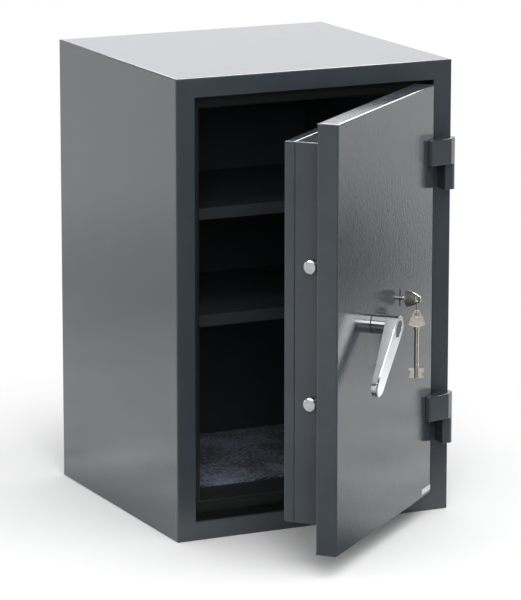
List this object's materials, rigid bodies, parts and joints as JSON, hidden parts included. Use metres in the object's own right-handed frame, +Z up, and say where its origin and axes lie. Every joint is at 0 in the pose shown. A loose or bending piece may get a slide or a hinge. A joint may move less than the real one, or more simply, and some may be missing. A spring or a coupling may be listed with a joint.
{
  "type": "safe",
  "caption": "Free-standing fire-resistant safe, hinged door standing open, lever handle, key lock with keys, sliding locking bolts, shelves and a felt floor mat.",
  "frame": {"origin": "centre of the underside of the cabinet, on the surface that it stands on", "axes": "+Z up, -Y out of the front of the cabinet, +X to the right of someone who faces the front, where the hinges are"},
  "size_m": [0.45, 0.7012, 0.69],
  "materials": {
    "grey_paint": "semi-gloss powder coat",
    "dark_paint": "matt paint",
    "felt": "needled felt, mottled blue-grey",
    "fire_board": "cast mineral filling, out of sight",
    "seal_rubber": "dull black strip",
    "bright_steel": "bright turned",
    "plain_steel": "zinc plated",
    "brass": "turned",
    "chrome": "polished",
    "dark_plastic": "satin",
    "key_nickel": "nickel plated",
    "label_plate": "satin silver"
  },
  "bodies": {
    "cabinet": {"outer_shell": "grey_paint", "base_plate": "grey_paint", "rear_panel": "grey_paint", "wall_fill": "fire_board", "rebate_frame": "grey_paint", "fire_seal": "seal_rubber", "inner_liner": "dark_paint", "floor_plate": "dark_paint", "strike_cups": "plain_steel", "dog_pockets": "plain_steel", "anchor_sleeves": "plain_steel", "shelf_rails": "dark_paint", "shelf_clips": "plain_steel", "lower_shelf": "dark_paint", "upper_shelf": "dark_paint", "floor_felt": "felt", "lower_hinge_block": "grey_paint", "upper_hinge_block": "grey_paint", "lower_hinge_pin": "plain_steel", "upper_hinge_pin": "plain_steel", "hinge_washers": "brass"},
    "door": {"door_skin": "grey_paint", "door_fill": "fire_board", "hard_plate": "plain_steel", "door_back_plate": "grey_paint", "lower_hinge_leaf": "grey_paint", "upper_hinge_leaf": "grey_paint", "bolt_box": "grey_paint", "bolt_box_cover": "grey_paint", "cover_posts": "plain_steel", "cover_screws": "plain_steel", "dog_bolts": "bright_steel", "bolt_bushes": "brass", "guide_studs": "plain_steel", "spindle_bush": "brass", "key_guide": "plain_steel", "lock_case": "plain_steel", "lock_cover": "plain_steel", "lock_screws": "plain_steel", "lock_levers": "brass", "blank_label": "label_plate"},
    "bolt_carriage": {"locking_bolts": "bright_steel", "bolt_bar": "plain_steel", "drive_plate": "plain_steel"},
    "handle": {"lever_handle": "chrome", "lever_inset": "dark_plastic", "handle_spindle": "plain_steel", "handle_crank": "plain_steel", "spindle_clip": "plain_steel"},
    "lock_bolt": {"lock_bolt": "plain_steel"},
    "lock_key": {"lock_key": "key_nickel"},
    "key_ring": {"key_ring": "chrome"},
    "spare_key": {"spare_key": "key_nickel"}
  },
  "joints": [
    {"name": "door_swing", "type": "hinge", "parent": "cabinet", "child": "door", "pos_m": [0.212, -0.231, 0.345], "axis": [0, 0, 1], "range_deg": [-41.4, 138.6]},
    {"name": "handle_turn", "type": "hinge", "parent": "door", "child": "handle", "pos_m": [0.00555, -0.39301, 0.3445], "axis": [0.6613, -0.7501, 0], "range_deg": [0, 80]},
    {"name": "bolt_throw", "type": "slide", "parent": "door", "child": "bolt_carriage", "axis": [-0.7501, -0.6613, 0], "range_m": [0, 0.0201]},
    {"name": "key_turn", "type": "hinge", "parent": "door", "child": "lock_key", "pos_m": [0.08431, -0.32357, 0.362], "axis": [0.6613, -0.7501, 0], "range_deg": [0, 90.5]},
    {"name": "lock_bolt_throw", "type": "slide", "parent": "door", "child": "lock_bolt", "axis": [0, 0, -1], "range_m": [0, 0.01]},
    {"name": "ring_hang", "type": "hinge", "parent": "lock_key", "child": "key_ring", "pos_m": [0.10171, -0.3433, 0.35015], "axis": [0.8942, -0.4478, 0], "range_deg": [-90.5, 0]},
    {"name": "spare_key_swing", "type": "hinge", "parent": "key_ring", "child": "spare_key", "pos_m": [0.10171, -0.3433, 0.3409], "axis": [-0.4478, -0.8942, 0], "range_deg": [-7, 60]}
  ],
  "couplings": [
    {"joint": "bolt_throw", "follows": "handle_turn", "m_per_rad": 0.014324},
    {"joint": "key_turn", "follows": "lock_bolt_throw", "rad_per_m": 157.08},
    {"joint": "ring_hang", "follows": "lock_bolt_throw", "rad_per_m": -157.08}
  ]
}
